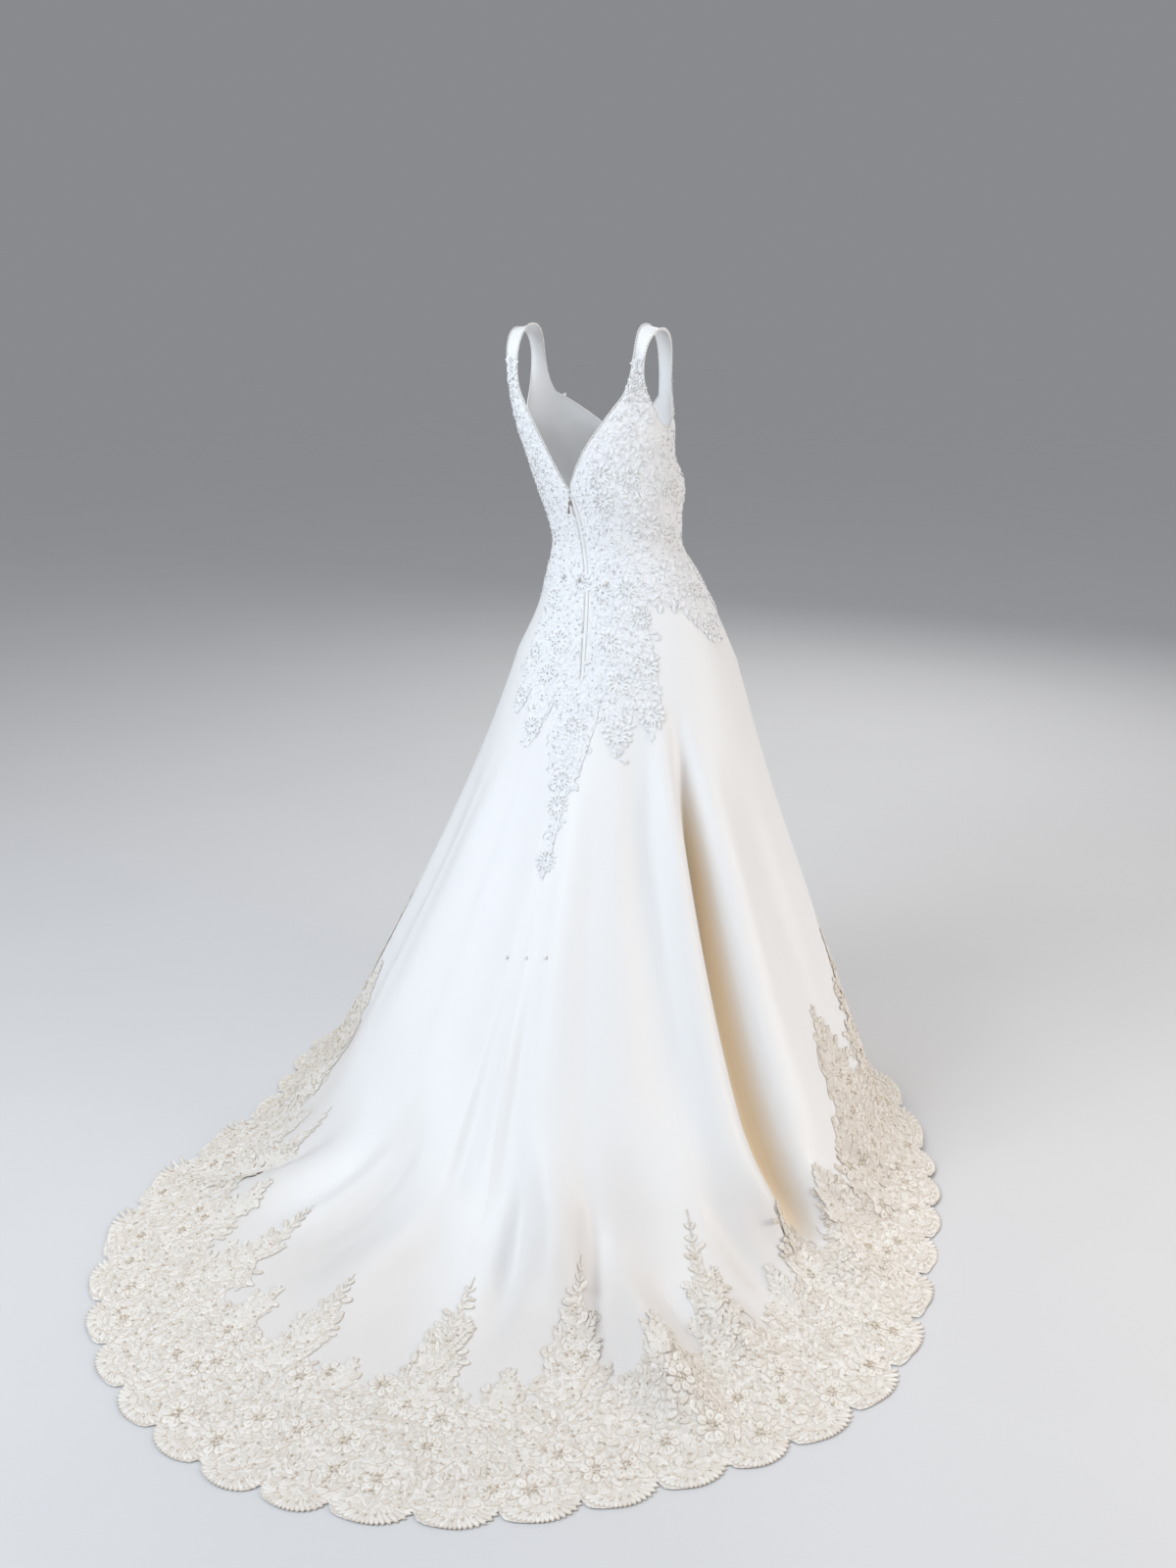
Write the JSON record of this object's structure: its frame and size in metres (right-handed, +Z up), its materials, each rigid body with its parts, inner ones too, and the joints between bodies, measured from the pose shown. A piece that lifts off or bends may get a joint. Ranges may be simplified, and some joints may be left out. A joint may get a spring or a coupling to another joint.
{
  "type": "wedding dress",
  "caption": "Sleeveless wedding dress with a V back, fitted lace bodice, flared satin skirt and scalloped chapel train.",
  "frame": {"origin": "where the wearer's shoulders hold the dress up: midway between the undersides of the two shoulder straps", "axes": "+Z up, -Y the front of the dress, +Y along the train, +X the wearer's left"},
  "size_m": [1.4257, 1.5685, 1.4755],
  "materials": {
    "satin": "soft satin",
    "corded_lace": "beaded corded lace",
    "piping": "satin",
    "zip_tape": "woven",
    "nickel": "polished",
    "covered_button": "satin"
  },
  "bodies": {
    "dress": {"armhole_piping_left": "piping", "armhole_piping_right": "piping", "back_left": "satin", "back_right": "satin", "back_side_left": "satin", "back_side_right": "satin", "eye": "nickel", "front_centre": "satin", "front_side_left": "satin", "front_side_right": "satin", "hem_back_left": "corded_lace", "hem_back_right": "corded_lace", "hem_back_side_left": "corded_lace", "hem_back_side_right": "corded_lace", "hem_front_centre": "corded_lace", "hem_front_side_left": "corded_lace", "hem_front_side_right": "corded_lace", "hip_button_centre": "covered_button", "hip_button_left": "covered_button", "hip_button_right": "covered_button", "hook": "nickel", "lace_back_left": "corded_lace", "lace_back_right": "corded_lace", "lace_back_side_left": "corded_lace", "lace_back_side_right": "corded_lace", "lace_front_centre": "corded_lace", "lace_front_side_left": "corded_lace", "lace_front_side_right": "corded_lace", "lace_tail": "corded_lace", "neck_piping": "piping", "placket_lap": "satin", "train_button_centre": "covered_button", "train_button_left": "covered_button", "train_button_right": "covered_button", "zip_slider": "nickel", "zip_tape": "zip_tape"},
    "zip_pull": {"zip_pull": "nickel"}
  },
  "joints": [
    {"name": "zip_pull_swing", "type": "hinge", "parent": "dress", "child": "zip_pull", "pos_m": [-0.02592, 0.09463, -0.28932], "axis": [0.99, -0.1409, 0], "range_deg": [0, 120]}
  ]
}
